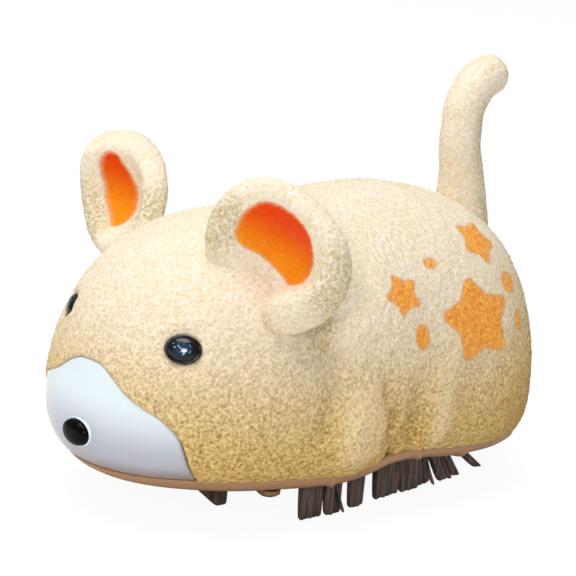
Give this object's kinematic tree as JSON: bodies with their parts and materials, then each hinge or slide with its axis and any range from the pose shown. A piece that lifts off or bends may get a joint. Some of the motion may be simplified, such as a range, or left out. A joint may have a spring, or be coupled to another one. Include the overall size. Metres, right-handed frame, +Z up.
{
  "type": "vibrating pet toy",
  "caption": "Battery-driven vibrating animal toy for pets: a flocked shell with round ears, tail, glossy muzzle and orange spots, on a moulded chassis with rubber feet.",
  "frame": {"origin": "middle of the toy's box in plan, on the floor under its feet", "axes": "+Z up, -Y towards the muzzle, +X towards the toy's left side"},
  "size_m": [0.0602, 0.0899, 0.0686],
  "materials": {
    "flocked_cream": "short velvety pile, matt, cream with soft orange spots",
    "mask_white": "polished cool white",
    "nose_black": "polished black",
    "eye_dark": "polished black with a blue-grey heart",
    "chassis_tan": "moulded, satin",
    "foot_rubber": "matt soft rubber",
    "steel": "plated",
    "brass": "pressed sheet",
    "cell_jacket": "printed sleeve, bare of words",
    "plastic_white": "moulded, satin",
    "lead_red": "soft insulation",
    "plastic_dark": "moulded, satin"
  },
  "bodies": {
    "toy": {"body_shell": "flocked_cream", "ear_left": "flocked_cream", "ear_right": "flocked_cream", "tail": "flocked_cream", "muzzle_mask": "mask_white", "nose": "nose_black", "nose_washer": "steel", "eye_left": "eye_dark", "eye_right": "eye_dark", "eye_washer_left": "steel", "eye_washer_right": "steel", "chassis": "chassis_tan", "chassis_screw_front_left": "steel", "chassis_screw_front_right": "steel", "chassis_screw_rear_left": "steel", "chassis_screw_rear_right": "steel", "front_foot_left": "foot_rubber", "front_foot_right": "foot_rubber", "rear_foot_left": "foot_rubber", "rear_foot_right": "foot_rubber", "chin_skid_left": "foot_rubber", "chin_skid_right": "foot_rubber", "battery_cell": "cell_jacket", "front_contact": "brass", "rear_contact": "brass", "contact_spring": "steel", "motor_can": "steel", "motor_end_cap": "plastic_white", "motor_terminal_left": "brass", "motor_terminal_right": "brass", "motor_strap": "steel", "strap_screw_left": "steel", "strap_screw_right": "steel", "switch_body": "plastic_dark", "cell_lead": "lead_red", "motor_lead": "lead_red", "return_lead": "plastic_dark"},
    "rotor": {"rotor_shaft": "steel", "eccentric_weight": "steel"},
    "switch": {"switch_slider": "nose_black"},
    "door": {"battery_door": "chassis_tan"},
    "screw": {"door_screw": "steel"}
  },
  "joints": [
    {"name": "rotor_spin", "type": "hinge", "parent": "toy", "child": "rotor", "pos_m": [0, -0.0192, 0.0176], "axis": [0, 1, 0], "continuous": true},
    {"name": "switch_slide", "type": "slide", "parent": "toy", "child": "switch", "axis": [0, 1, 0], "range_m": [0, 0.002]},
    {"name": "door_swing", "type": "hinge", "parent": "toy", "child": "door", "pos_m": [0, 0.034, 0.0058], "axis": [1, 0, 0], "range_deg": [0, 60]},
    {"name": "door_screw_travel", "type": "slide", "parent": "door", "child": "screw", "axis": [0, 0, -1], "range_m": [0, 0.0042]}
  ]
}
